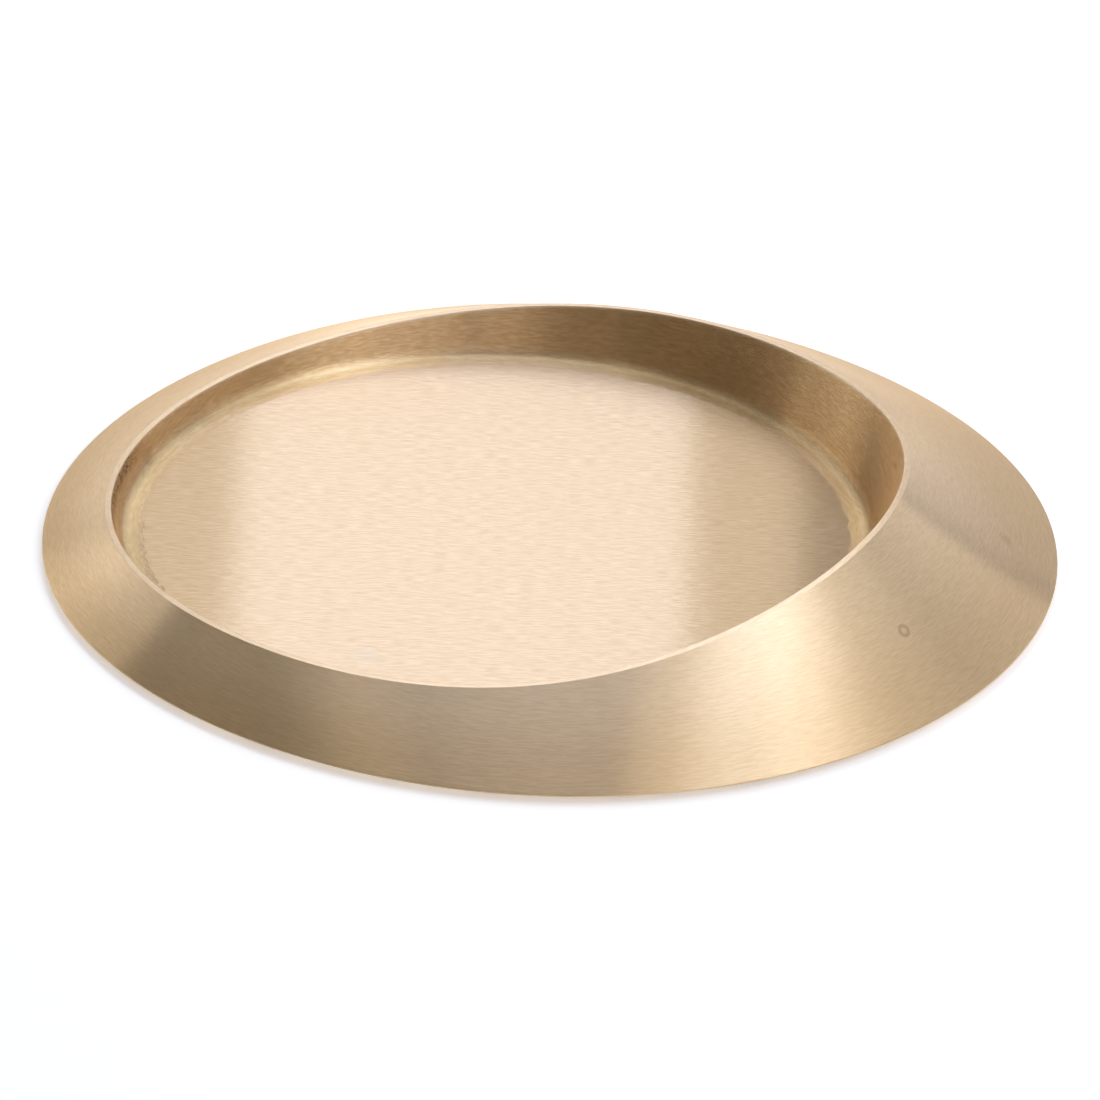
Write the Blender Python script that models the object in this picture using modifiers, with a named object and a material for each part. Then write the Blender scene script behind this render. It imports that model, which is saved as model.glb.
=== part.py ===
"""Offering plate: a low brass dish with a round basin set off centre in a sloping, knife-edged skirt.

The basin is a turned cup trimmed along a sweeping rim, low on the -X side and high on the +X side.
The skirt is a sheet shell whose straight generators run from the round foot edge up to that rim.
A base plate closes the underside, two braze fillets join the sheets, and a felt pad is the foot.
Metres, +Z up; the origin is on the resting surface, under the centre of the round foot edge.
"""

import math

import bmesh
import bpy
from mathutils import Vector

# Driving dimensions
FOOT_RADIUS = 0.125  # the skirt's round outer edge
SHEET = 0.0015  # brass sheet of the basin and the skirt, and so the width of the rim's flat land
PLATE_SHEET = 0.0010
FELT_SHEET = 0.0015
GAP = 0.0003  # glue line or solder film between pieces that touch

POCKET_CENTRE = Vector((-0.0135, -0.0068, 0.0))
FLOOR_RADIUS = 0.0897  # the basin's flat floor, inside its fillet
FILLET_RADIUS = 0.0036  # inside radius between floor and wall
WALL_TAPER = math.radians(13.5)  # outward lean of the basin's wall

# The rim's height above the foot edge: a mean, and waves of (crests a turn, height, angle of a crest)
RIM_MEAN = 0.01714
RIM_WAVES = (
    (1, 0.00801, math.radians(-4.8)),
    (2, 0.00180, math.radians(-0.6)),
    (3, 0.00181, math.radians(-26.1)),
    (4, 0.00062, math.radians(-30.2)),
)

EDGE_LAND = 0.0003  # blunt vertical face left on the knife edge
PLATE_RADIUS = 0.1175
PAD_RADIUS = 0.1120
FILLET_LEG = 0.0020  # leg of the braze fillet under the rim
BRAZE_CLEARANCE = 0.0006  # level gap from a braze fillet to the sloping inside of the skirt

STEPS = 96  # facets around every round shape
FILLET_STEPS = 6
CUP_HEIGHT = 0.034  # blank height of the cup, before its rim is trimmed
CUTTER_MARGIN = 0.010  # how far the trimming cutter reaches past the cup's wall and top

# Levels that follow from the stack of sheets
EDGE_LEVEL = FELT_SHEET + GAP
PLATE_TOP = EDGE_LEVEL + PLATE_SHEET
CUP_BOTTOM = PLATE_TOP + GAP
FLOOR_LEVEL = CUP_BOTTOM + SHEET

BRASS = (0.60, 0.45, 0.27)
BRAZE = (0.66, 0.58, 0.42)
FELT = (0.035, 0.028, 0.024)


def clear_scene():
    for obj in list(bpy.data.objects):
        bpy.data.objects.remove(obj, do_unlink=True)


def new_collection(name):
    collection = bpy.data.collections.new(name)
    bpy.context.scene.collection.children.link(collection)
    return collection


def material(name, colour, metallic, roughness):
    made = bpy.data.materials.new(name)
    made.use_nodes = True
    shader = made.node_tree.nodes["Principled BSDF"]
    shader.inputs["Base Color"].default_value = (*colour, 1.0)
    shader.inputs["Metallic"].default_value = metallic
    shader.inputs["Roughness"].default_value = roughness
    return made


def add_object(name, mesh, collection, parent, finish=None, location=(0.0, 0.0, 0.0)):
    obj = bpy.data.objects.new(name, mesh)
    obj.location = location
    obj.parent = parent
    if finish:
        mesh.materials.append(finish)
    collection.objects.link(obj)
    return obj


def rim_level(angle):
    """Height of the rim above the resting surface, at an angle about the pocket's axis."""
    waves = sum(height * math.cos(count * (angle - crest)) for count, height, crest in RIM_WAVES)
    return EDGE_LEVEL + RIM_MEAN + waves


def cup_radius(level, skin=0.0):
    """Radius of the cup's inside surface, or of its outside one when skin is the sheet's thickness."""
    bend = FILLET_RADIUS + skin
    below_centre = FLOOR_LEVEL + FILLET_RADIUS - level
    if below_centre > bend * math.sin(WALL_TAPER):
        return FLOOR_RADIUS + math.sqrt(bend**2 - below_centre**2)
    return FLOOR_RADIUS + bend / math.cos(WALL_TAPER) - below_centre * math.tan(WALL_TAPER)


def round_the_pocket(angle, radius, level):
    return POCKET_CENTRE + Vector((radius * math.cos(angle), radius * math.sin(angle), level))


def ring_loft(name, section):
    """A closed ring whose cross-section at each angle is the loop of points that section(angle) gives."""
    shape = bmesh.new()
    rings = []
    for step in range(STEPS):
        loop = section(math.tau * step / STEPS)
        rings.append([shape.verts.new(point) for point in loop])
    for ring, following in zip(rings, rings[1:] + rings[:1]):
        for i, corner in enumerate(ring):
            shape.faces.new((corner, following[i], following[i - 1], ring[i - 1]))
    bmesh.ops.recalc_face_normals(shape, faces=shape.faces)
    return finished_mesh(name, shape)


def finished_mesh(name, shape):
    mesh = bpy.data.meshes.new(name)
    shape.to_mesh(mesh)
    shape.free()
    mesh.shade_smooth()
    mesh.set_sharp_from_angle(angle=math.radians(30))
    return mesh


def disc(name, radius, bottom, top):
    """A flat round sheet, centred on the foot's axis."""
    shape = bmesh.new()
    bmesh.ops.create_cone(
        shape, cap_ends=True, segments=STEPS, radius1=radius, radius2=radius, depth=top - bottom
    )
    bmesh.ops.translate(shape, verts=shape.verts, vec=(0.0, 0.0, (top + bottom) / 2))
    return finished_mesh(name, shape)


def cup_profile():
    """Half section of the untrimmed cup: floor, inside of the wall, across its top, and down the outside."""
    def bend(radius, quarter):
        centre = (FLOOR_RADIUS, FLOOR_LEVEL + FILLET_RADIUS)
        angle = -math.pi / 2 + quarter * (math.pi / 2 - WALL_TAPER)
        return (centre[0] + radius * math.cos(angle), centre[1] + radius * math.sin(angle))

    inside = [bend(FILLET_RADIUS, i / FILLET_STEPS) for i in range(FILLET_STEPS + 1)]
    outside = [bend(FILLET_RADIUS + SHEET, i / FILLET_STEPS) for i in range(FILLET_STEPS + 1)]
    top = [(cup_radius(CUP_HEIGHT, skin), CUP_HEIGHT) for skin in (0.0, SHEET)]
    return [(0.0, FLOOR_LEVEL), *inside, *top, *reversed(outside), (0.0, CUP_BOTTOM)]


def trim_section(angle):
    """Section of the cutter that leaves the cup's wall ending in a level land at the rim's height."""
    angle += math.pi / STEPS  # half a facet round, so that its edges cross the cup's faces and not its edges
    inner = FLOOR_RADIUS - SHEET
    outer = cup_radius(CUP_HEIGHT, SHEET) + CUTTER_MARGIN
    low = rim_level(angle)
    high = CUP_HEIGHT + CUTTER_MARGIN
    corners = ((inner, low), (outer, low), (outer, high), (inner, high))
    return [Vector((r * math.cos(angle), r * math.sin(angle), z)) for r, z in corners]


def build_basin(collection, cutters, root, brass):
    mesh = bpy.data.meshes.new("basin")
    points = [(radius, 0.0, level) for radius, level in cup_profile()]
    mesh.from_pydata(points, [(i, i + 1) for i in range(len(points) - 1)], [])
    basin = add_object("basin", mesh, collection, root, brass, POCKET_CENTRE)
    turn = basin.modifiers.new("turned", "SCREW")
    turn.axis = "Z"
    turn.steps = STEPS
    turn.render_steps = STEPS
    turn.use_smooth_shade = True
    turn.use_merge_vertices = True
    turn.merge_threshold = 0.00001

    cutter = add_object("rim_cutter", ring_loft("rim_cutter", trim_section), cutters, root)
    cutter.location = POCKET_CENTRE
    cutter.hide_render = True
    cutter.display_type = "WIRE"
    trim = basin.modifiers.new("trimmed", "BOOLEAN")
    trim.operation = "DIFFERENCE"
    trim.solver = "EXACT"
    trim.object = cutter


def skirt_run(angle):
    """Where the skirt's generator meets the cup: that point, the slope, and the sheet's upright thickness."""
    level = rim_level(angle)
    top = round_the_pocket(angle, cup_radius(level, SHEET) + GAP, level)
    slope = (level - EDGE_LEVEL - EDGE_LAND) / (FOOT_RADIUS - top.xy.length)
    return top, slope, SHEET * math.hypot(1.0, slope)


def inside_of_foot(slope, upright, level):
    """Distance from the foot's axis to the skirt's inside surface, at a level just above the edge."""
    return FOOT_RADIUS - (upright - EDGE_LAND + level - EDGE_LEVEL) / slope


def upright_section(outward, corners):
    """Points in the upright plane through the foot's axis and a direction, from (distance, level) pairs."""
    return [Vector((outward.x * distance, outward.y * distance, level)) for distance, level in corners]


def skirt_section(angle):
    top, slope, upright = skirt_run(angle)
    reach = top.xy.length
    return upright_section(
        top.xy.normalized(),
        (
            (FOOT_RADIUS, EDGE_LEVEL),
            (FOOT_RADIUS, EDGE_LEVEL + EDGE_LAND),
            (reach, top.z),
            (reach, top.z - upright),
            (inside_of_foot(slope, upright, EDGE_LEVEL), EDGE_LEVEL),
        ),
    )


def foot_braze_section(angle):
    """The fillet that fills the corner between the base plate's edge and the inside of the skirt."""
    top, slope, upright = skirt_run(angle)
    inner = PLATE_RADIUS + GAP
    return upright_section(
        top.xy.normalized(),
        (
            (inner, EDGE_LEVEL),
            (inside_of_foot(slope, upright, EDGE_LEVEL) - BRAZE_CLEARANCE, EDGE_LEVEL),
            (inside_of_foot(slope, upright, PLATE_TOP) - BRAZE_CLEARANCE, PLATE_TOP),
            (inner, PLATE_TOP),
        ),
    )


def rim_braze_section(angle):
    """The fillet in the corner under the rim, between the cup's wall and the underside of the skirt."""
    top, slope, upright = skirt_run(angle)
    corner = top.z - upright - BRAZE_CLEARANCE
    low = corner - FILLET_LEG
    on_wall = round_the_pocket(angle, cup_radius(corner, SHEET) + GAP, corner)
    outward = top.xy.normalized() * FILLET_LEG
    return [
        on_wall,
        on_wall + Vector((outward.x, outward.y, -slope * FILLET_LEG)),
        round_the_pocket(angle, cup_radius(low, SHEET) + GAP, low),
    ]


def build():
    clear_scene()
    parts = new_collection("offering_plate")
    cutters = new_collection("cutters")
    root = bpy.data.objects.new("offering_plate_origin", None)
    parts.objects.link(root)

    build_basin(parts, cutters, root, material("basin_brass", BRASS, 1.0, 0.32))
    skirt = ring_loft("outer_skirt", skirt_section)
    add_object("outer_skirt", skirt, parts, root, material("skirt_brass", BRASS, 1.0, 0.34))
    plate = disc("base_plate", PLATE_RADIUS, EDGE_LEVEL, PLATE_TOP)
    add_object("base_plate", plate, parts, root, material("plate_brass", BRASS, 1.0, 0.45))
    for name, section in (("rim_braze", rim_braze_section), ("foot_braze", foot_braze_section)):
        add_object(name, ring_loft(name, section), parts, root, material(name, BRAZE, 1.0, 0.5))
    pad = disc("felt_pad", PAD_RADIUS, 0.0, FELT_SHEET)
    add_object("felt_pad", pad, parts, root, material("felt", FELT, 0.0, 1.0))


build()
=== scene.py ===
"""Looks of the offering plate: fine meshes and brushed-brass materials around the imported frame.

Metres, +Z up, in the CAD's own frame: +X is the basin's high side, and the camera looks along +Y.
"""

import math

import bmesh
import bpy
from mathutils import Matrix, Vector


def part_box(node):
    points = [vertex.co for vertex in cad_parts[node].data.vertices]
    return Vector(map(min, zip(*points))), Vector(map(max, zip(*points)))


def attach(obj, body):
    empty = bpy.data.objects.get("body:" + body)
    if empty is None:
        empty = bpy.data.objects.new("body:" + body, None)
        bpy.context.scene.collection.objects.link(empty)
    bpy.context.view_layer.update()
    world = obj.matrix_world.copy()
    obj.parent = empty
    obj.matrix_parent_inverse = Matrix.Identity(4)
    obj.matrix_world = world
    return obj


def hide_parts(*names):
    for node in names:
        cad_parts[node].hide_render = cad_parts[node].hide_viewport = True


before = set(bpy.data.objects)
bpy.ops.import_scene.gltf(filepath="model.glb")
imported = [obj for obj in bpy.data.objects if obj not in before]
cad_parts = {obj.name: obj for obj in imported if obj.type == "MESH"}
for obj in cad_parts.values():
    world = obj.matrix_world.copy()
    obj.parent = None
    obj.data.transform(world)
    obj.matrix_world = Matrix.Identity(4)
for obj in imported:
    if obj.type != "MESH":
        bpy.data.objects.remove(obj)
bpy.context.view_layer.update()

# The model's driving dimensions, as in the CAD
SHEET = 0.0015
POCKET_CENTRE = Vector((-0.0135, -0.0068, 0.0))
FLOOR_RADIUS = 0.0897
FILLET_RADIUS = 0.0036
WALL_TAPER = math.radians(13.5)
RIM_MEAN = 0.01714
# (crests a turn, height, angle of a crest)
RIM_WAVES = (
    (1, 0.00801, math.radians(-4.8)),
    (2, 0.00180, math.radians(-0.6)),
    (3, 0.00181, math.radians(-26.1)),
    (4, 0.00062, math.radians(-30.2)),
)
EDGE_LAND = 0.0003

# The foot edge was finished by hand, and so it is out of round by this much
FOOT_WAVES = (
    (3, 0.00080, math.radians(-30.3)),
    (4, 0.00058, math.radians(8.9)),
)

# Sizes and levels read from the frame
PLATE_LOW, PLATE_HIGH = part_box("base_plate")
PAD_LOW, PAD_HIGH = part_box("felt_pad")
BASIN_LOW, BASIN_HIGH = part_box("basin")
SKIRT_LOW, SKIRT_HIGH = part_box("outer_skirt")
FOOT_RADIUS = (SKIRT_HIGH.x - SKIRT_LOW.x) / 2
EDGE_LEVEL = SKIRT_LOW.z
CUP_BOTTOM = BASIN_LOW.z
FLOOR_LEVEL = CUP_BOTTOM + SHEET
PLATE_RADIUS = (PLATE_HIGH.x - PLATE_LOW.x) / 2
PAD_RADIUS = (PAD_HIGH.x - PAD_LOW.x) / 2

# How finely the visible meshes are cut
STEPS = 720
FLOOR_CUTS = 24
FILLET_CUTS = 24
WALL_CUTS = 16
SKIRT_CUTS = 36
LIP_INNER_ROUND = 0.00026  # softened corner between the wall and the rim's land
LIP_OUTER_ROUND = 0.00005  # nearly sharp corner between the land and the skirt
LIP_OUTER_CUTS = 8
CORNER_CUTS = 4  # of every other softened corner
PLATE_ROUND = 0.00025
PLATE_CUTS = 12
PAD_ROUND = 0.00045
PAD_CUTS = 60
SHARP_ANGLE = math.radians(40)  # a fold of the mesh that is steeper than this is shaded as an edge

# The braze at the foot
BRAZE_CUTS = 10
BRAZE_HOLLOW = 0.00045  # how far its free face is drawn in
BRAZE_GAP = 0.00005  # so that the braze's faces and the sheets' don't lie in each other
# How unevenly it flowed: (crests a turn, share of the hollow, angle of a crest)
BRAZE_WAVES = (
    (7, 0.22, 0.4),
    (19, 0.16, 1.1),
    (43, 0.12, 2.3),
)

# Brushed brass
FINE_DEPTH = 0.000006  # relief of the finest scratches
STREAK_DEPTH = 0.000014
BUMP_FILTER = 0.02  # pixels over which the relief is smoothed
FLOOR_BRUSH = (0.24, 0.88)  # roughness, and how much more of it lies across the grain than along it
SKIRT_BRUSH = (0.30, 0.76)
SOFT_ROUGHNESS = 0.45  # of the part of the surface that shows no mirror image
MIRROR_SHARE = 0.85
LAND_MIRROR_SHARE = 0.25  # the rim was dressed with fine abrasive, across the grain
LAND_SPAN = (0.00015, 0.0006)  # depth below the rim over which its finish gives way to the wall's
GRAIN_LENGTH = 0.0036  # of one brushed streak
BASIN_GRAIN = 0.00040  # width of a streak
SKIRT_GRAIN = 0.00030
# The finest scratches, the streaks and the broad bands: fineness, with a streak's as 1, and detail
GRAIN_LAYERS = (
    (1.0 / 0.35, 1.0),
    (1.0, 3.0),
    (0.40, 2.0),
)
STREAK = 1  # place of the streaks in that list
TONE_SHARES = (0.8, 0.2)  # how much streaks and broad bands count in the colour
TONE_SPAN = (0.36, 0.64)
TURNED_SPAN = (0.0845, 0.0897)  # radii between which turned scratches take over from the straight grain
TURNED_MOST = 0.95  # share of the streaks that they have taken at the end

# Colours, and the tints that multiply them
BRASS_LIGHT = (0.91, 0.69, 0.445)
BRASS_DARK = (0.815, 0.60, 0.365)
# colour of the marks, and of the painted shade under the lip
TARNISH_AND_SHADE = (0.30, 0.17, 0.08)
# painted shade: the skirt grows darker and warmer towards its foot
FOOT_PAINTED_SHADE = (0.88, 0.84, 0.77)
FOOT_PAINTED_SHADE_SPAN = (0.05, 0.9)  # share of the way down the skirt over which it sets in
LAND_PAINTED_HIGHLIGHT = (1.02, 1.04, 1.08)  # painted highlight: the rim's land is a little lighter and paler
FILLET_PAINTED_HIGHLIGHT = (1.11, 1.14, 1.05)  # painted highlight: the fillet is a little brighter than the rest
FILLET_SPAN = (0.0868, 0.0893)  # radius over which it sets in
FILLET_HEIGHT = (0.0011, 0.0005)  # heights above the floor between which it sets in, from above
WALL_PAINTED_SHADE = (0.86, 0.77, 0.62)  # painted shade: the wall is darker and browner than the rest
WALL_PAINTED_SHADE_DEPTH = (0.0003, 0.0010)  # depths below the rim between which it sets in
WALL_PAINTED_SHADE_HEIGHT = (0.0004, 0.0013)  # heights above the floor between which it sets in
SHADE_STREAK_SPAN = (0.45, 0.62)  # from a dark streak to a light one, on which the painted shade is thinner
SHADE_STREAK_SHARE = 0.7  # how much of the wall's painted shade a light streak keeps

# Marks of use, and painted shade under the lip
PIT_DEPTH = 0.00004
PIT_CORE = 0.4  # share of a pit's radius that is dark all over
BASIN_PITS = (0.016, 0.00022, 0.35)  # spacing, radius, and the share of places that hold one
SKIRT_PITS = (0.014, 0.00020, 0.30)
RING_MARK = Vector((0.0807, -0.0735, 0.0156))  # a small round dent on the skirt, with its middle raised
RING_MARK_RADIUS = 0.0013
RING_MARK_INNER = (0.35, 0.85)  # shares of that radius between which the dent darkens
RING_MARK_OUTER = (1.5, 1.05)
RING_MARK_SHARE = 0.36
WALL_NICK = Vector((0.0835, -0.0075, 0.0234))
NICK_REACH = (0.0011, 0.0004)  # distances between which a mark sets in, as below
NICK_NOISE = (1400.0, 2.0)  # scale and detail, as for every noise below
NICK_SPAN = (0.42, 0.55)
FLOOR_SMUDGE = Vector((-0.0413, -0.0733, FLOOR_LEVEL))
FLOOR_SMUDGE_REACH = (0.0042, 0.0010)
FLOOR_SMUDGE_SHARE = 0.2
FLOOR_SMUDGE_COLOUR = (0.72, 0.66, 0.56)
SKIRT_SMUDGE = Vector((0.1100, -0.0220, 0.0114))
SKIRT_SMUDGE_REACH = (0.0030, 0.0008)
SKIRT_SMUDGE_SHARE = 0.18
RAGGED_LIP = Vector((-0.1060, -0.0130, 0.0100))  # where the wall was left pitted, with painted shade between the pits, just under the lip
RAGGED_REACH = (0.032, 0.0192)
RAGGED_LOW = (0.0042, 0.0022)  # depths below the rim between which the strip of pits and painted shade sets in, from below
RAGGED_HIGH = (0.0001, 0.0005)  # the same, from above
RAGGED_NOISE = (1300.0, 3.0)
RAGGED_SPAN = (0.46, 0.58)
RAGGED_PAINTED_SHADE = 0.25  # painted shade: how dark the strip is between its pits

# Rolled brass of the base plate
PLATE_DARK = (0.40, 0.28, 0.15)
PLATE_LIGHT = (0.62, 0.46, 0.26)
PLATE_CLOUDS = (60.0, 4.0)
PLATE_LINES = (0.6, 2.0)
PLATE_TONE_SPAN = (0.75, 1.25)
PLATE_CLOUD_SPAN = (0.3, 0.7)
PLATE_ROUGHNESS = (0.52, 0.38)
PLATE_RELIEF = 0.00001

# Braze as it flowed
BRAZE_STAINED = (0.36, 0.27, 0.17)
BRAZE_CLEAN = (0.72, 0.66, 0.52)
BRAZE_RIPPLES = (700.0, 2.0)
BRAZE_STAINS = (140.0, 4.0)
BRAZE_TONE_SPAN = (0.42, 0.62)
BRAZE_STAIN_SPAN = (0.35, 0.65)
BRAZE_ROUGHNESS = (0.55, 0.34)
BRAZE_RELIEF = 0.00012

# Felt
FELT_DARK = (0.016, 0.012, 0.010)
FELT_LIGHT = (0.075, 0.060, 0.050)
FELT_FIBRES = (2600.0, 4.0)
FELT_MOTTLE = (220.0, 3.0)
FELT_TONE_SPAN = (0.7, 1.3)
FELT_ROUGHNESS = 0.95
FELT_SHEEN = 0.35
FELT_RELIEF = 0.00030

# The sheet of paper underneath
STAGE_SIZE = 40.0  # half its width
PAPER_DARK = (0.955, 0.94, 0.915)
PAPER_LIGHT = (0.975, 0.96, 0.935)
PAPER_TOOTH = (900.0, 2.0)
PAPER_ROUGHNESS = 0.9
PAPER_RELIEF = 0.00002
PAPER_GLOW = 0.36  # keeps it white under the dim ceiling

# The camera: a long lens, with its distance and aim in foot radii, and lens and sensor in millimetres
CAMERA_ELEVATION = math.radians(29.382)
CAMERA_ROLL = math.radians(1.767)
CAMERA_DISTANCE = 5.9987
CAMERA_AIM = (-0.0015, -0.1339)
LENS = 100.0
SENSOR = 36.0
CLIP_START = 0.01

# The plain studio: a bright horizon under a dim ceiling, and flat soft panels round the plate
PANEL_DISTANCE = 1.3
CEILING_GLOW = 0.08
BACK_LEFT_GLOW = 1.22
BACK_RIGHT_GLOW = 0.80
FRONT_LEFT_GLOW = 0.02
FRONT_RIGHT_GLOW = 1.0
LEFT_COLOUR = (1.0, 0.99, 1.0)
RIGHT_COLOUR = (0.88, 0.95, 1.22)
# Where the world's light changes, between two values of the direction's X, Y or Z
BACK_WIDTH = (-0.7, 0.7)  # from the left side's glow and colour to the right side's
BACK_HEIGHT = (0.13, 0.32)  # the back horizon's light fades upwards
BACK_REACH = (-0.30, 0.35)  # and grows towards the back
FRONT_WIDTH = (-0.70, 0.50)
FRONT_REACH = (-0.55, -0.95)
LUMINANCE = (0.2126, 0.7152, 0.0722)  # how much red, green and blue count in brightness
# name, degrees to the right, degrees over the top from the back horizon, brightness, colour
PANELS = (
    ("overhead_panel", (-9.4, 4.2), (36.0, 78.0), 1.18, (0.56, 0.70, 1.16)),
    ("overhead_wide", (-14.0, 7.5), (28.0, 78.0), 0.83, (1.0, 1.0, 1.0)),
    ("overhead_fill", (-22.0, 16.0), (14.0, 80.0), 0.55, (1.0, 1.0, 1.0)),
    ("front_panel", (19.0, 43.0), (85.0, 122.0), 1.12, (0.56, 0.72, 1.08)),
    ("front_wide", (11.0, 50.0), (62.0, 135.0), 1.00, (1.0, 1.0, 1.0)),
    ("front_left_fill", (-34.0, -18.0), (90.0, 126.0), 0.45, (1.0, 1.0, 1.0)),
    ("front_mid_fill", (-34.0, 14.0), (100.0, 150.0), 0.10, (1.0, 0.92, 0.76)),
    ("top_strip", (-9.4, 4.2), (72.0, 88.0), 0.50, (1.0, 0.94, 0.80)),
    ("left_low_fill", (-56.0, -35.0), (80.0, 126.0), 0.24, (1.0, 0.94, 0.80)),
    ("right_back_fill", (20.0, 46.0), (14.0, 62.0), 0.25, (1.0, 1.0, 1.0)),
    ("front_low_fill", (36.0, 56.0), (102.0, 140.0), 0.38, (1.0, 1.0, 1.0)),
    ("left_soft_fill", (-60.0, -40.0), (58.0, 100.0), 0.18, (1.0, 0.96, 0.88)),
    ("right_panel", (39.0, 82.0), (4.0, 150.0), 0.46, (1.0, 1.0, 1.0)),
    ("left_panel", (-64.0, -42.0), (8.0, 66.0), 0.72, (1.0, 1.0, 1.0)),
)


def waves(table, angle):
    return sum(height * math.cos(count * (angle - crest)) for count, height, crest in table)


def rim_level(angle):
    """Height of the rim above the resting surface, at an angle about the pocket's axis."""
    return EDGE_LEVEL + RIM_MEAN + waves(RIM_WAVES, angle)


def cup_radius(level, skin=0.0):
    """Radius of the cup's inside surface, or of its outside one when skin is the sheet's thickness."""
    bend = FILLET_RADIUS + skin
    below_centre = FLOOR_LEVEL + FILLET_RADIUS - level
    if below_centre > bend * math.sin(WALL_TAPER):
        return FLOOR_RADIUS + math.sqrt(max(0.0, bend**2 - below_centre**2))
    return FLOOR_RADIUS + bend / math.cos(WALL_TAPER) - below_centre * math.tan(WALL_TAPER)


def round_the_pocket(angle, radius, level):
    return POCKET_CENTRE + Vector((radius * math.cos(angle), radius * math.sin(angle), level))


def pocket_angle(point):
    return math.atan2(point.y - POCKET_CENTRE.y, point.x - POCKET_CENTRE.x)


def mixed(a, b, share):
    return a + (b - a) * share


def rounded(corner, before, after, radius, cuts=CORNER_CUTS):
    """Points of a small arc that replaces a corner between two neighbouring points of a section."""
    start = corner + (before - corner).normalized() * radius
    end = corner + (after - corner).normalized() * radius
    shares = [i / cuts for i in range(cuts + 1)]
    return [(1 - t) ** 2 * start + 2 * t * (1 - t) * corner + t**2 * end for t in shares]


def ring_object(name, section, cap_first=None, cap_last=None, closed=True):
    """A surface through section(angle) all round, as a closed loop or capped to points on the axis."""
    shape = bmesh.new()
    rings = []
    for step in range(STEPS):
        rings.append([shape.verts.new(point) for point in section(math.tau * step / STEPS)])
    for ring, following in zip(rings, rings[1:] + rings[:1]):
        for i in range(0 if closed else 1, len(ring)):
            shape.faces.new((ring[i], following[i], following[i - 1], ring[i - 1]))
    for cap, place in ((cap_first, 0), (cap_last, -1)):
        if cap:
            tip = shape.verts.new(cap)
            for ring, following in zip(rings, rings[1:] + rings[:1]):
                shape.faces.new((ring[place], following[place], tip))
    bmesh.ops.recalc_face_normals(shape, faces=shape.faces)
    mesh = bpy.data.meshes.new(name)
    shape.to_mesh(mesh)
    shape.free()
    mesh.shade_smooth()
    mesh.set_sharp_from_angle(angle=SHARP_ANGLE)
    obj = bpy.data.objects.new(name, mesh)
    bpy.context.scene.collection.objects.link(obj)
    return obj


def skirt_run(angle):
    """The corner where a generator meets the rim's land, the foot of that generator, and its slope."""
    level = rim_level(angle)
    top = round_the_pocket(angle, cup_radius(level, SHEET), level)
    outward = Vector((top.x, top.y, 0.0)).normalized()
    reach = FOOT_RADIUS + waves(FOOT_WAVES, math.atan2(top.y, top.x))
    foot = outward * reach + Vector((0.0, 0.0, EDGE_LEVEL + EDGE_LAND))
    slope = (top.z - foot.z) / (reach - top.xy.length)
    return top, foot, slope


def basin_section(angle):
    """Half section of the basin: out over the floor, up the wall, over the rim and back below."""
    rim = rim_level(angle)
    points = []
    for i in range(1, FLOOR_CUTS):
        points.append(round_the_pocket(angle, FLOOR_RADIUS * i / FLOOR_CUTS, FLOOR_LEVEL))
    climb = rim - FLOOR_LEVEL
    bend_top = min(FILLET_RADIUS * (1 - math.sin(WALL_TAPER)), climb - 2 * LIP_INNER_ROUND)
    turn = math.acos(1 - bend_top / FILLET_RADIUS)
    for i in range(FILLET_CUTS + 1):
        level = FLOOR_LEVEL + FILLET_RADIUS * (1 - math.cos(turn * i / FILLET_CUTS))
        points.append(round_the_pocket(angle, cup_radius(level), level))
    for i in range(1, WALL_CUTS):
        level = mixed(FLOOR_LEVEL + bend_top, rim - LIP_INNER_ROUND, i / WALL_CUTS)
        points.append(round_the_pocket(angle, cup_radius(level), level))
    inner = round_the_pocket(angle, cup_radius(rim), rim)
    below = round_the_pocket(angle, cup_radius(rim - SHEET), rim - SHEET)
    outer, foot, _ = skirt_run(angle)
    points += rounded(inner, below, outer, LIP_INNER_ROUND)
    points += rounded(outer, inner, foot, LIP_OUTER_ROUND, LIP_OUTER_CUTS)
    hidden = rim - 2 * SHEET
    for i in range(WALL_CUTS):
        level = mixed(hidden, CUP_BOTTOM, i / WALL_CUTS)
        points.append(round_the_pocket(angle, cup_radius(level, SHEET), level))
    points.append(round_the_pocket(angle, FLOOR_RADIUS, CUP_BOTTOM))
    return points


def skirt_section(angle):
    """Loop round the skirt's sheet: up the outside from the knife edge, and down the inside."""
    top, foot, slope = skirt_run(angle)
    outward = Vector((top.x, top.y, 0.0)).normalized()
    start = top + (foot - top).normalized() * LIP_OUTER_ROUND
    upright = Vector((0.0, 0.0, SHEET * math.hypot(1.0, slope)))
    edge_low = Vector((foot.x, foot.y, EDGE_LEVEL))
    inside_foot = edge_low - outward * (upright.z - EDGE_LAND) / slope
    points = rounded(foot, edge_low, start, EDGE_LAND / 2)
    points += [mixed(foot, start, i / SKIRT_CUTS) for i in range(1, SKIRT_CUTS + 1)]
    points += [mixed(start - upright, inside_foot, i / SKIRT_CUTS) for i in range(SKIRT_CUTS + 1)]
    points.append(edge_low)
    return points


def make_disc(name, radius, low, high, bend, cuts):
    """A flat round sheet: rings of points out below, round its softened edge and in on top."""
    bottom = Vector((0.0, 0.0, low))
    top = Vector((0.0, 0.0, high))
    low_corner = Vector((radius, 0.0, low))
    high_corner = Vector((radius, 0.0, high))
    edge = rounded(low_corner, bottom, high_corner, bend) + rounded(high_corner, low_corner, top, bend)
    under = [Vector((edge[0].x * i / cuts, 0.0, low)) for i in range(1, cuts)]
    over = [Vector((edge[-1].x * i / cuts, 0.0, high)) for i in range(cuts - 1, 0, -1)]
    profile = under + edge + over

    def section(angle):
        return [Vector((p.x * math.cos(angle), p.x * math.sin(angle), p.z)) for p in profile]

    return ring_object(name, section, cap_first=bottom, cap_last=top, closed=False)


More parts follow.
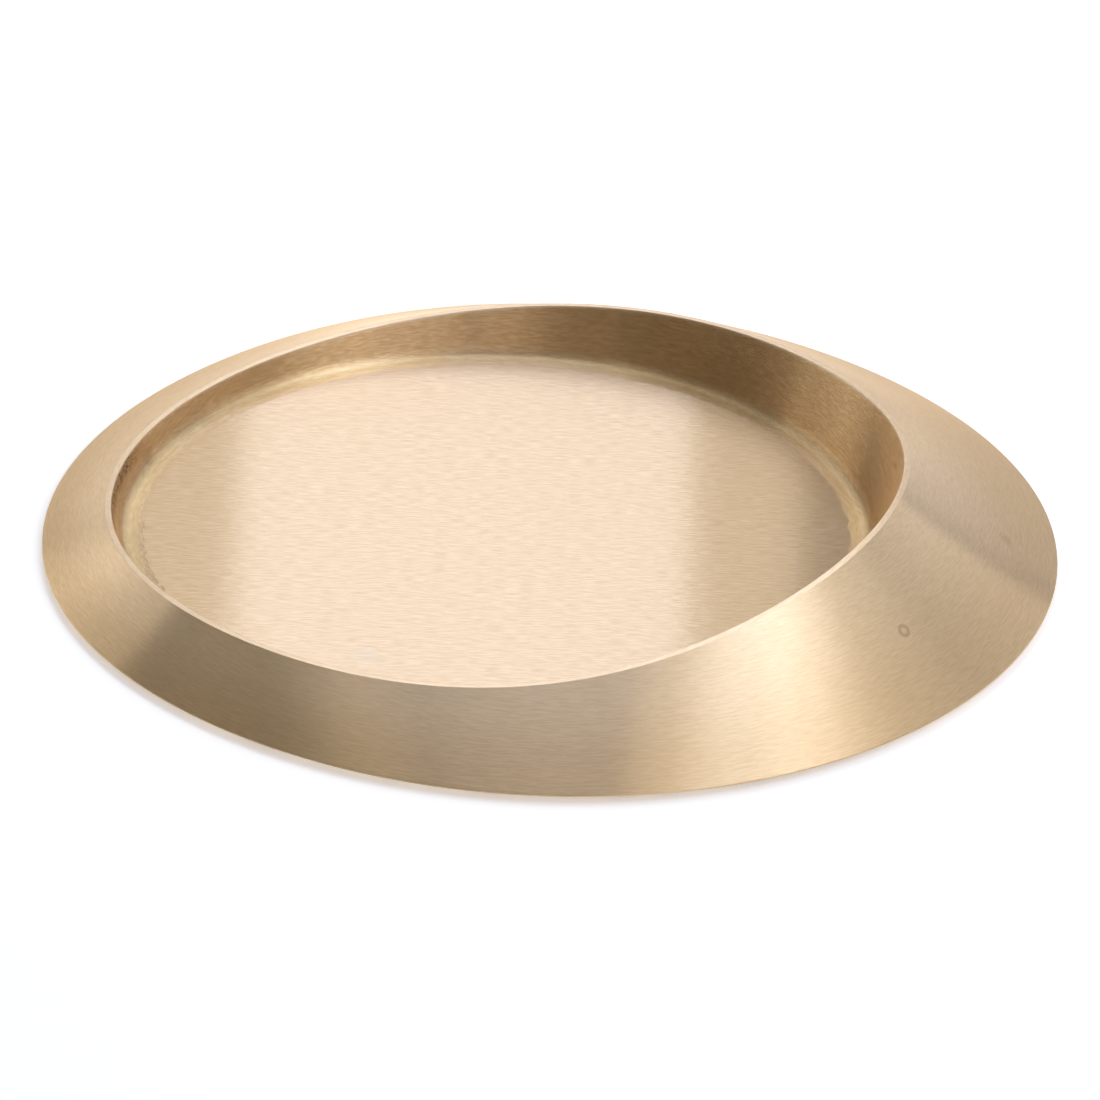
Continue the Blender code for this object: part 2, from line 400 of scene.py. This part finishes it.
def foot_braze_section(angle):
    """The braze between the plate's edge and the skirt: its free face is hollow, and a little uneven."""
    top, foot, slope = skirt_run(angle)
    outward = Vector((top.x, top.y, 0.0)).normalized()
    upright = SHEET * math.hypot(1.0, slope)
    inner = PLATE_RADIUS + BRAZE_GAP
    depth = BRAZE_HOLLOW * (1 + waves(BRAZE_WAVES, math.atan2(top.y, top.x)))

    def point(share, height):
        """A point at a share of the way from the plate to the skirt, at a height over the knife edge."""
        outer = foot.xy.length - (upright - EDGE_LAND + height) / slope - BRAZE_GAP
        return outward * mixed(inner, outer, share) + Vector((0.0, 0.0, EDGE_LEVEL + height))

    shares = [i / BRAZE_CUTS for i in range(BRAZE_CUTS + 1)]
    free_face = [point(share, depth * (1 - (2 * share - 1) ** 2)) for share in shares]
    height = PLATE_HIGH.z - EDGE_LEVEL
    return free_face + [point(1.0, height), point(0.0, height)]


class Wiring:
    """Short-hand for wiring nodes: a value or another node's output may feed any input."""

    def __init__(self, tree, coordinates):
        self.tree = tree
        self.place = self.add("ShaderNodeTexCoord").outputs[coordinates]
        self.x, self.y, self.z = self.add("ShaderNodeSeparateXYZ", {"Vector": self.place}).outputs

    def add(self, kind, inputs=None, **settings):
        node = self.tree.nodes.new(kind)
        for name, value in settings.items():
            setattr(node, name, value)
        for name, value in (inputs or {}).items():
            self.feed(node.inputs[name], value)
        return node

    def feed(self, socket, value):
        if isinstance(value, bpy.types.NodeSocket):
            self.tree.links.new(value, socket)
        else:
            socket.default_value = value

    def maths(self, operation, *values):
        return self.add("ShaderNodeMath", dict(enumerate(values)), operation=operation).outputs[0]

    def vectors(self, operation, *values):
        node = self.add("ShaderNodeVectorMath", dict(enumerate(values)), operation=operation)
        return node.outputs["Value" if operation in ("LENGTH", "DISTANCE") else "Vector"]

    def joined(self, x, y, z):
        return self.add("ShaderNodeCombineXYZ", {"X": x, "Y": y, "Z": z}).outputs[0]

    def noise(self, vector, scale, detail):
        inputs = {"Vector": vector, "Scale": scale, "Detail": detail}
        return self.add("ShaderNodeTexNoise", inputs).outputs[0]

    def ramp(self, value, start, end, low=0.0, high=1.0):
        """Eases from low to high as value goes from start to end."""
        inputs = {"Value": value, "From Min": start, "From Max": end, "To Min": low, "To Max": high}
        return self.add("ShaderNodeMapRange", inputs, interpolation_type="SMOOTHSTEP").outputs[0]

    def blend(self, share, a, b, kind="FLOAT", **settings):
        node = self.add("ShaderNodeMix", data_type=kind, **settings)
        sockets = [socket for socket in node.inputs if socket.enabled]
        for socket, value in zip(sockets, (share, a, b)):
            self.feed(socket, value)
        return next(socket for socket in node.outputs if socket.enabled)

    def colours(self, share, a, b):
        """A colour between two: b is plain, and a may be another node's output."""
        start = a if isinstance(a, bpy.types.NodeSocket) else (*a, 1.0)
        return self.blend(share, start, (*b, 1.0), "RGBA")

    def tinted(self, share, colour, tint):
        """The colour, multiplied by a tint to a varying share."""
        return self.blend(share, colour, (*tint, 1.0), "RGBA", blend_type="MULTIPLY")


class Shading(Wiring):
    """One material: its shader, and for brushed metal the mirror beside it."""

    def __init__(self, name):
        self.material = bpy.data.materials.new(name)
        self.material.use_nodes = True
        super().__init__(self.material.node_tree, "Object")
        self.shader = self.tree.nodes["Principled BSDF"]
        self.mirror = None

    def around(self, point, span, high=1.0):
        """Eases from 0 to high between two distances from a point."""
        return self.ramp(self.vectors("DISTANCE", self.place, point), *span, 0.0, high)


def about(shading, centre):
    """Distance from an upright axis, and the level direction away from it."""
    offset = shading.vectors("SUBTRACT", shading.joined(shading.x, shading.y, 0.0), centre)
    return shading.vectors("LENGTH", offset), shading.vectors("NORMALIZE", offset)


def turned_grain(shading, radius, outward, side, width):
    """Coordinates for streaks of noise round an axis; side is 1 where the metal climbs outwards."""
    turn = shading.vectors("SCALE", outward)
    shading.feed(turn.node.inputs["Scale"], FOOT_RADIUS / GRAIN_LENGTH)
    climb = shading.maths("MULTIPLY", shading.z, side)
    across = shading.maths("DIVIDE", shading.maths("ADD", radius, climb), width)
    return shading.vectors("ADD", turn, shading.joined(0.0, 0.0, across))


def straight_grain(shading):
    """Coordinates in which noise makes streaks that run along X."""
    along = shading.maths("DIVIDE", shading.x, GRAIN_LENGTH)
    across = shading.maths("DIVIDE", shading.y, BASIN_GRAIN)
    return shading.joined(along, across, 0.0)


def grain_layers(shading, grain):
    """The finest scratches, the streaks, and the broad bands of one brushing, each about 0.5."""
    return [shading.noise(grain, fineness, detail) for fineness, detail in GRAIN_LAYERS]


def brushed(shading, layers, tangent, brush, mirror_share):
    """Brushed metal: streaks in colour and relief, and mirror images drawn out across the grain."""
    fine, streak, broad = layers
    streak_tone = shading.maths("MULTIPLY", streak, TONE_SHARES[0])
    broad_tone = shading.maths("MULTIPLY", broad, TONE_SHARES[1])
    share = shading.ramp(shading.maths("ADD", streak_tone, broad_tone), *TONE_SPAN)
    colour = shading.colours(share, BRASS_DARK, BRASS_LIGHT)
    fine_relief = shading.maths("MULTIPLY", fine, FINE_DEPTH)
    streak_relief = shading.maths("MULTIPLY", streak, STREAK_DEPTH)
    relief = shading.maths("ADD", fine_relief, streak_relief)
    soft = shading.shader
    shading.feed(soft.inputs["Metallic"], 1.0)
    shading.feed(soft.inputs["Roughness"], SOFT_ROUGHNESS)
    inputs = {"Color": colour, "Roughness": brush[0], "Anisotropy": brush[1], "Tangent": tangent}
    shading.mirror = shading.add("ShaderNodeBsdfAnisotropic", inputs, distribution="MULTI_GGX")
    inputs = {0: mirror_share, 1: soft.outputs[0], 2: shading.mirror.outputs[0]}
    both = shading.add("ShaderNodeMixShader", inputs)
    shading.feed(shading.tree.nodes["Material Output"].inputs["Surface"], both.outputs[0])
    return colour, relief


def finished(shading, colour, relief):
    """Wires up the colour and the relief, in metres."""
    inputs = {"Height": relief, "Distance": 1.0, "Strength": 1.0, "Filter Width": BUMP_FILTER}
    bump = shading.add("ShaderNodeBump", inputs)
    shading.feed(shading.shader.inputs["Normal"], bump.outputs[0])
    if shading.mirror:
        shading.feed(shading.mirror.inputs["Normal"], bump.outputs[0])
        shading.feed(shading.mirror.inputs["Color"], colour)
    shading.feed(shading.shader.inputs["Base Color"], colour)
    return shading.material


def specks(shading, spacing, size, share):
    """Sparse round pits: 1 inside them, for a share of the cells of a loose lattice."""
    inputs = {"Vector": shading.place, "Scale": 1.0 / spacing}
    cells = shading.add("ShaderNodeTexVoronoi", inputs)
    near = shading.ramp(cells.outputs["Distance"], size / spacing, PIT_CORE * size / spacing)
    lot = shading.add("ShaderNodeSeparateColor", {"Color": cells.outputs["Color"]}).outputs[0]
    return shading.maths("MULTIPLY", near, shading.maths("LESS_THAN", lot, share))


def marked(shading, colour, relief, marks):
    """Tarnishes and sinks the surface where the strongest of the marks is; under the lip that darkening
    is partly painted shade.
    """
    dark = marks[0]
    for mark in marks[1:]:
        dark = shading.maths("MAXIMUM", dark, mark)
    colour = shading.colours(dark, colour, TARNISH_AND_SHADE)
    return colour, shading.maths("ADD", relief, shading.maths("MULTIPLY", dark, -PIT_DEPTH))


def pits_and_shade_under_lip(shading, depth):
    """The ragged strip just under the lip, on the low side: real pits, with painted shade between them.
    """
    from_below = shading.ramp(depth, *RAGGED_LOW)
    from_above = shading.ramp(depth, *RAGGED_HIGH)
    strip = shading.maths("MULTIPLY", from_below, from_above)
    strip = shading.maths("MULTIPLY", shading.around(RAGGED_LIP, RAGGED_REACH), strip)
    # real pits, with painted shade between them
    pits = shading.ramp(shading.noise(shading.place, *RAGGED_NOISE), *RAGGED_SPAN, RAGGED_PAINTED_SHADE, 1.0)
    return shading.maths("MULTIPLY", strip, pits)


def basin_material():
    """Straight-brushed floor, turned fillet and wall: near the floor's edge the two grains mix."""
    shading = Shading("basin_brushed")
    radius, outward = about(shading, POCKET_CENTRE)
    round_it = shading.vectors("CROSS_PRODUCT", (0.0, 0.0, 1.0), outward)
    ring_layers = grain_layers(shading, turned_grain(shading, radius, outward, 1.0, BASIN_GRAIN))
    line_layers = grain_layers(shading, straight_grain(shading))
    reach = shading.ramp(radius, *TURNED_SPAN, 0.0, TURNED_MOST)
    turned = shading.maths("LESS_THAN", ring_layers[STREAK], reach)
    tangent = shading.blend(turned, (1.0, 0.0, 0.0), round_it, "VECTOR")
    layers = [shading.blend(turned, line, ring) for line, ring in zip(line_layers, ring_layers)]
    depth = shading.add("ShaderNodeAttribute", attribute_name="below_rim").outputs["Fac"]
    mirror_share = shading.ramp(depth, *LAND_SPAN, LAND_MIRROR_SHARE, MIRROR_SHARE)
    colour, relief = brushed(shading, layers, tangent, FLOOR_BRUSH, mirror_share)

    # painted shade on the wall between the floor and the rim, thinner on light streaks
    rise = shading.maths("SUBTRACT", shading.z, FLOOR_LEVEL)
    over_floor = shading.ramp(rise, *WALL_PAINTED_SHADE_HEIGHT)
    under_rim = shading.ramp(depth, *WALL_PAINTED_SHADE_DEPTH)
    wall_shade = shading.maths("MULTIPLY", over_floor, under_rim)
    wall_shade = shading.maths("MULTIPLY", wall_shade, shading.ramp(layers[STREAK], *SHADE_STREAK_SPAN, 1.0, SHADE_STREAK_SHARE))
    in_fillet = shading.ramp(rise, *FILLET_HEIGHT)
    in_fillet = shading.maths("MULTIPLY", shading.ramp(radius, *FILLET_SPAN), in_fillet)
    colour = shading.tinted(wall_shade, colour, WALL_PAINTED_SHADE)
    # painted highlight on the rim's land
    colour = shading.tinted(shading.ramp(depth, *reversed(LAND_SPAN)), colour, LAND_PAINTED_HIGHLIGHT)
    # painted highlight along the fillet
    colour = shading.tinted(in_fillet, colour, FILLET_PAINTED_HIGHLIGHT)

    nick = shading.ramp(shading.noise(shading.place, *NICK_NOISE), *NICK_SPAN)
    nick = shading.maths("MULTIPLY", shading.around(WALL_NICK, NICK_REACH), nick)
    marks = (specks(shading, *BASIN_PITS), nick, pits_and_shade_under_lip(shading, depth))
    colour, relief = marked(shading, colour, relief, marks)
    smudge = shading.around(FLOOR_SMUDGE, FLOOR_SMUDGE_REACH, FLOOR_SMUDGE_SHARE)
    colour = shading.colours(smudge, colour, FLOOR_SMUDGE_COLOUR)
    return finished(shading, colour, relief)


def skirt_material():
    """The skirt's grain runs level, round the foot's axis, and painted shade darkens it towards the
    foot, so it is brightest near the rim.
    """
    shading = Shading("skirt_brushed")
    radius, outward = about(shading, (0.0, 0.0, 0.0))
    round_it = shading.vectors("CROSS_PRODUCT", (0.0, 0.0, 1.0), outward)
    layers = grain_layers(shading, turned_grain(shading, radius, outward, -1.0, SKIRT_GRAIN))
    colour, relief = brushed(shading, layers, round_it, SKIRT_BRUSH, MIRROR_SHARE)
    down = shading.add("ShaderNodeAttribute", attribute_name="down_skirt").outputs["Fac"]
    # painted shade, growing towards the foot
    colour = shading.tinted(shading.ramp(down, *FOOT_PAINTED_SHADE_SPAN), colour, FOOT_PAINTED_SHADE)

    inner = [share * RING_MARK_RADIUS for share in RING_MARK_INNER]
    outer = [share * RING_MARK_RADIUS for share in RING_MARK_OUTER]
    ring = shading.maths("MULTIPLY", shading.around(RING_MARK, inner), shading.around(RING_MARK, outer))
    ring = shading.maths("MULTIPLY", ring, RING_MARK_SHARE)
    smudge = shading.around(SKIRT_SMUDGE, SKIRT_SMUDGE_REACH, SKIRT_SMUDGE_SHARE)
    marks = (specks(shading, *SKIRT_PITS), ring, smudge)
    return finished(shading, *marked(shading, colour, relief, marks))


def plate_material():
    """Brass left as rolled: dull, clouded, with a few straight rolling lines."""
    shading = Shading("plate_rolled")
    clouds = shading.noise(shading.place, *PLATE_CLOUDS)
    lines = shading.noise(straight_grain(shading), *PLATE_LINES)
    tone = shading.ramp(shading.maths("ADD", clouds, lines), *PLATE_TONE_SPAN)
    colour = shading.colours(tone, PLATE_DARK, PLATE_LIGHT)
    roughness = shading.ramp(clouds, *PLATE_CLOUD_SPAN, *PLATE_ROUGHNESS)
    shading.feed(shading.shader.inputs["Metallic"], 1.0)
    shading.feed(shading.shader.inputs["Roughness"], roughness)
    return finished(shading, colour, shading.maths("MULTIPLY", lines, PLATE_RELIEF))


def braze_material():
    """Silver braze as it flowed: paler than the brass, lightly rippled, with darker flux stains."""
    shading = Shading("braze_flow")
    ripples = shading.noise(shading.place, *BRAZE_RIPPLES)
    stains = shading.noise(shading.place, *BRAZE_STAINS)
    colour = shading.colours(shading.ramp(stains, *BRAZE_TONE_SPAN), BRAZE_STAINED, BRAZE_CLEAN)
    roughness = shading.ramp(stains, *BRAZE_STAIN_SPAN, *BRAZE_ROUGHNESS)
    shading.feed(shading.shader.inputs["Metallic"], 1.0)
    shading.feed(shading.shader.inputs["Roughness"], roughness)
    return finished(shading, colour, shading.maths("MULTIPLY", ripples, BRAZE_RELIEF))


def felt_material():
    """Pressed wool felt: matted fibres, mottled at two scales."""
    shading = Shading("felt_dark")
    fibres = shading.noise(shading.place, *FELT_FIBRES)
    mottle = shading.noise(shading.place, *FELT_MOTTLE)
    tone = shading.ramp(shading.maths("ADD", fibres, mottle), *FELT_TONE_SPAN)
    shading.feed(shading.shader.inputs["Roughness"], FELT_ROUGHNESS)
    shading.feed(shading.shader.inputs["Sheen Weight"], FELT_SHEEN)
    colour = shading.colours(tone, FELT_DARK, FELT_LIGHT)
    return finished(shading, colour, shading.maths("MULTIPLY", fibres, FELT_RELIEF))


def paper_material():
    """Plain pale paper, with a faint glow of its own."""
    shading = Shading("floor_paper")
    tooth = shading.noise(shading.place, *PAPER_TOOTH)
    colour = shading.colours(tooth, PAPER_DARK, PAPER_LIGHT)
    shading.feed(shading.shader.inputs["Roughness"], PAPER_ROUGHNESS)
    shading.feed(shading.shader.inputs["Emission Color"], (1.0, 1.0, 1.0, 1.0))
    shading.feed(shading.shader.inputs["Emission Strength"], PAPER_GLOW)
    return finished(shading, colour, shading.maths("MULTIPLY", tooth, PAPER_RELIEF))


def settle(piece, node, finish):
    """Puts a new piece in a CAD node's place, with a finish."""
    piece.data.materials.append(finish)
    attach(piece, "root")
    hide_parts(node)


def make_basin():
    low = POCKET_CENTRE + Vector((0.0, 0.0, CUP_BOTTOM))
    high = POCKET_CENTRE + Vector((0.0, 0.0, FLOOR_LEVEL))
    basin = ring_object("basin_cup", basin_section, cap_first=high, cap_last=low, closed=False)
    depth = basin.data.attributes.new("below_rim", "FLOAT", "POINT")
    for vertex, value in zip(basin.data.vertices, depth.data):
        value.value = rim_level(pocket_angle(vertex.co)) - vertex.co.z
    settle(basin, "basin", basin_material())


def make_skirt():
    skirt = ring_object("skirt_shell", skirt_section)
    share = skirt.data.attributes.new("down_skirt", "FLOAT", "POINT")
    points_a_section = len(skirt.data.vertices) // STEPS
    for vertex, value in zip(skirt.data.vertices, share.data):
        top, foot, _ = skirt_run(math.tau * (vertex.index // points_a_section) / STEPS)
        value.value = (top.z - vertex.co.z) / (top.z - foot.z)
    settle(skirt, "outer_skirt", skirt_material())


def make_underside():
    plate = make_disc("base_disc", PLATE_RADIUS, PLATE_LOW.z, PLATE_HIGH.z, PLATE_ROUND, PLATE_CUTS)
    settle(plate, "base_plate", plate_material())
    braze = ring_object("foot_fillet", foot_braze_section)
    settle(braze, "foot_braze", braze_material())
    # The rim's braze is out of sight under the skirt: its CAD node stays, with this braze's material
    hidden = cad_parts["rim_braze"].data
    hidden.materials.clear()
    hidden.materials.append(bpy.data.materials["braze_flow"])
    pad = make_disc("pad", PAD_RADIUS, PAD_LOW.z, PAD_HIGH.z, PAD_ROUND, PAD_CUTS)
    settle(pad, "felt_pad", felt_material())


def make_camera():
    """Looks down at the plate from its front, a little rolled."""
    aim = Vector((CAMERA_AIM[0] * FOOT_RADIUS, CAMERA_AIM[1] * FOOT_RADIUS, EDGE_LEVEL))
    forward = Vector((0.0, math.cos(CAMERA_ELEVATION), -math.sin(CAMERA_ELEVATION)))
    camera = bpy.data.objects.new("camera", bpy.data.cameras.new("camera"))
    bpy.context.scene.collection.objects.link(camera)
    camera.data.lens = LENS
    camera.data.sensor_width = SENSOR
    camera.data.clip_start = CLIP_START
    camera.location = aim - forward * (CAMERA_DISTANCE * FOOT_RADIUS)
    level = forward.to_track_quat("-Z", "Y").to_matrix().to_4x4()
    camera.rotation_euler = (level @ Matrix.Rotation(CAMERA_ROLL, 4, "Z")).to_euler()
    bpy.context.scene.camera = camera


def make_stage():
    """A plain pale sheet of paper, far wider than the view."""
    shape = bmesh.new()
    bmesh.ops.create_grid(shape, x_segments=1, y_segments=1, size=STAGE_SIZE)
    mesh = bpy.data.meshes.new("floor")
    shape.to_mesh(mesh)
    shape.free()
    mesh.materials.append(paper_material())
    floor = bpy.data.objects.new("floor", mesh)
    bpy.context.scene.collection.objects.link(floor)


def make_world():
    """A dim ceiling, and a soft bright horizon behind and beside the plate."""
    world = bpy.data.worlds.new("studio")
    bpy.context.scene.world = world
    world.use_nodes = True
    wiring = Wiring(world.node_tree, "Generated")
    back_sides = wiring.ramp(wiring.x, *BACK_WIDTH, BACK_LEFT_GLOW, BACK_RIGHT_GLOW)
    back_low = wiring.ramp(wiring.z, *BACK_HEIGHT, 1.0, 0.0)
    back_place = wiring.maths("MULTIPLY", back_low, wiring.ramp(wiring.y, *BACK_REACH))
    front_sides = wiring.ramp(wiring.x, *FRONT_WIDTH, FRONT_LEFT_GLOW, FRONT_RIGHT_GLOW)
    back = wiring.maths("MULTIPLY", back_sides, back_place)
    front = wiring.maths("MULTIPLY", front_sides, wiring.ramp(wiring.y, *FRONT_REACH))
    glow = wiring.maths("ADD", wiring.maths("ADD", back, front), CEILING_GLOW)
    colour = wiring.colours(wiring.ramp(wiring.x, *BACK_WIDTH), LEFT_COLOUR, RIGHT_COLOUR)
    background = world.node_tree.nodes["Background"]
    wiring.feed(background.inputs["Color"], colour)
    wiring.feed(background.inputs["Strength"], glow)


def luminance(colour):
    return sum(weight * part for weight, part in zip(LUMINANCE, colour))


def make_panel(name, sides, overs, brightness, colour):
    """A flat soft panel that faces the plate and spans these angles, this bright in a mirror."""
    side = math.radians(sum(sides) / 2)
    over = math.radians(sum(overs) / 2)
    width = 2 * PANEL_DISTANCE * math.tan(math.radians(sides[1] - sides[0]) / 2)
    length = 2 * PANEL_DISTANCE * math.tan(math.radians(overs[1] - overs[0]) / 2 * math.cos(side))
    away = Vector((math.sin(side), math.cos(side) * math.cos(over), math.cos(side) * math.sin(over)))
    across = Vector((math.cos(side), -math.sin(side) * math.cos(over), -math.sin(side) * math.sin(over)))
    light = bpy.data.lights.new(name, "AREA")
    light.shape = "RECTANGLE"
    light.size = width
    light.size_y = length
    light.energy = brightness / luminance(colour) * math.pi * width * length
    light.color = colour
    panel = bpy.data.objects.new(name, light)
    turned = Matrix((across, away.cross(across), away)).transposed()
    panel.matrix_world = Matrix.Translation(away * PANEL_DISTANCE) @ turned.to_4x4()
    bpy.context.scene.collection.objects.link(panel)


def make_lights():
    make_world()
    for panel in PANELS:
        make_panel(*panel)


make_basin()
make_skirt()
make_underside()
make_stage()
make_lights()
make_camera()
bpy.context.scene.view_settings.view_transform = "Standard"
